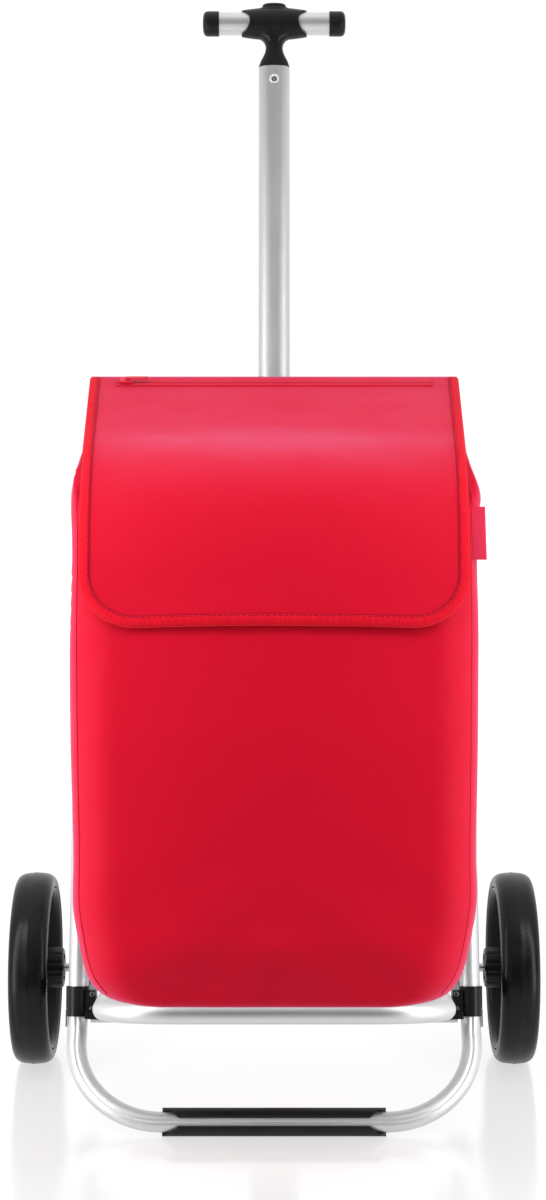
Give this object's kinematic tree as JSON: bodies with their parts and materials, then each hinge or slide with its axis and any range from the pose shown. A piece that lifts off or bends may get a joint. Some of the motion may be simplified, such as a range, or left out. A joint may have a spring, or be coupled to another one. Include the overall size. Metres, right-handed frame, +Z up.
{
  "type": "shopping trolley on wheels",
  "caption": "Two-wheeled shopping trolley: aluminium tube frame with foot loop and folding support, telescopic T-handle and a soft bag with a fold-over flap.",
  "frame": {"origin": "on the floor, under the middle of the parked trolley's box", "axes": "+Z up, +X to the right as seen from the flap side, -Y towards the viewer of the flap; the trolley leans back 15 degrees towards +Y"},
  "size_m": [0.44, 0.4257, 0.9022],
  "materials": {
    "aluminium_tube": "satin",
    "bright_steel": "satin",
    "black_plastic": "satin",
    "tyre_rubber": "satin",
    "pad_rubber": "matte",
    "bag_fabric": "matte",
    "zip_fabric": "matte",
    "strap_webbing": "matte",
    "label_fabric": "matte",
    "zip_metal": "satin",
    "board_plastic": "matte"
  },
  "bodies": {
    "frame": {"axle": "bright_steel", "bag_body": "bag_fabric", "base_board": "board_plastic", "bracket_left": "black_plastic", "bracket_right": "black_plastic", "bracket_screw_lower_left": "bright_steel", "bracket_screw_lower_right": "bright_steel", "bracket_screw_upper_left": "bright_steel", "bracket_screw_upper_right": "bright_steel", "cross_rod": "bright_steel", "foot_loop": "aluminium_tube", "foot_pad": "pad_rubber", "frame_clip_left": "bright_steel", "frame_clip_right": "bright_steel", "hang_strap_left": "strap_webbing", "hang_strap_right": "strap_webbing", "pole_collar": "black_plastic", "pole_guide": "aluminium_tube", "pole_socket": "black_plastic", "pole_strap": "strap_webbing", "side_label": "label_fabric", "side_tube_left": "aluminium_tube", "side_tube_right": "aluminium_tube", "top_bridge": "black_plastic"},
    "wheel_left": {"tyre_left": "tyre_rubber", "rim_left": "black_plastic", "wheel_bush_left": "black_plastic", "axle_cap_left": "black_plastic"},
    "wheel_right": {"tyre_right": "tyre_rubber", "rim_right": "black_plastic", "wheel_bush_right": "black_plastic", "axle_cap_right": "black_plastic"},
    "handle": {"handle_pole": "aluminium_tube", "pole_shoe": "black_plastic", "handle_hub": "black_plastic", "pole_screw": "bright_steel", "grip_bar_left": "aluminium_tube", "grip_bar_right": "aluminium_tube", "bar_cap_left": "black_plastic", "bar_cap_right": "black_plastic", "button_spring": "bright_steel"},
    "button": {"release_button": "black_plastic", "release_rod": "bright_steel"},
    "latch": {"latch_bolt": "bright_steel"},
    "platform": {"platform_loop": "aluminium_tube", "platform_pin_left": "bright_steel", "platform_pin_right": "bright_steel"},
    "flap": {"bag_flap": "bag_fabric", "zip_tape": "zip_fabric"},
    "zip": {"zip_slider": "zip_metal"},
    "pull_tab": {"zip_pull": "zip_metal"}
  },
  "joints": [
    {"name": "wheel_left_spin", "type": "hinge", "parent": "frame", "child": "wheel_left", "pos_m": [-0.204, 0.0745, 0.081], "axis": [1, 0, 0], "continuous": true},
    {"name": "wheel_right_spin", "type": "hinge", "parent": "frame", "child": "wheel_right", "pos_m": [0.204, 0.0745, 0.081], "axis": [1, 0, 0], "continuous": true},
    {"name": "handle_slide", "type": "slide", "parent": "frame", "child": "handle", "axis": [0, -0.2588, -0.9659], "range_m": [0, 0.25]},
    {"name": "button_press", "type": "slide", "parent": "handle", "child": "button", "axis": [0, -0.2588, -0.9659], "range_m": [0, 0.004], "stiffness_N_per_m": 350, "springref_m": -0.002, "deforming": ["button_spring"]},
    {"name": "latch_retract", "type": "slide", "parent": "handle", "child": "latch", "axis": [0, -0.9659, 0.2588], "range_m": [0, 0.002]},
    {"name": "platform_fold", "type": "hinge", "parent": "frame", "child": "platform", "pos_m": [0, -0.03594, 0.087], "axis": [-1, 0, 0], "range_deg": [0, 90], "deforming": ["bag_body", "base_board"]},
    {"name": "flap_open", "type": "hinge", "parent": "frame", "child": "flap", "pos_m": [0, 0.0874, 0.58401], "axis": [-1, 0, 0], "range_deg": [0, 120]},
    {"name": "zip_slide", "type": "slide", "parent": "flap", "child": "zip", "axis": [1, 0, 0], "range_m": [0, 0.245]},
    {"name": "zip_pull_swing", "type": "hinge", "parent": "zip", "child": "pull_tab", "pos_m": [-0.1222, 0.07146, 0.58506], "axis": [0, -0.9333, -0.3592], "range_deg": [0, 150]}
  ],
  "couplings": [
    {"joint": "latch_retract", "follows": "button_press", "ratio": 0.5}
  ]
}
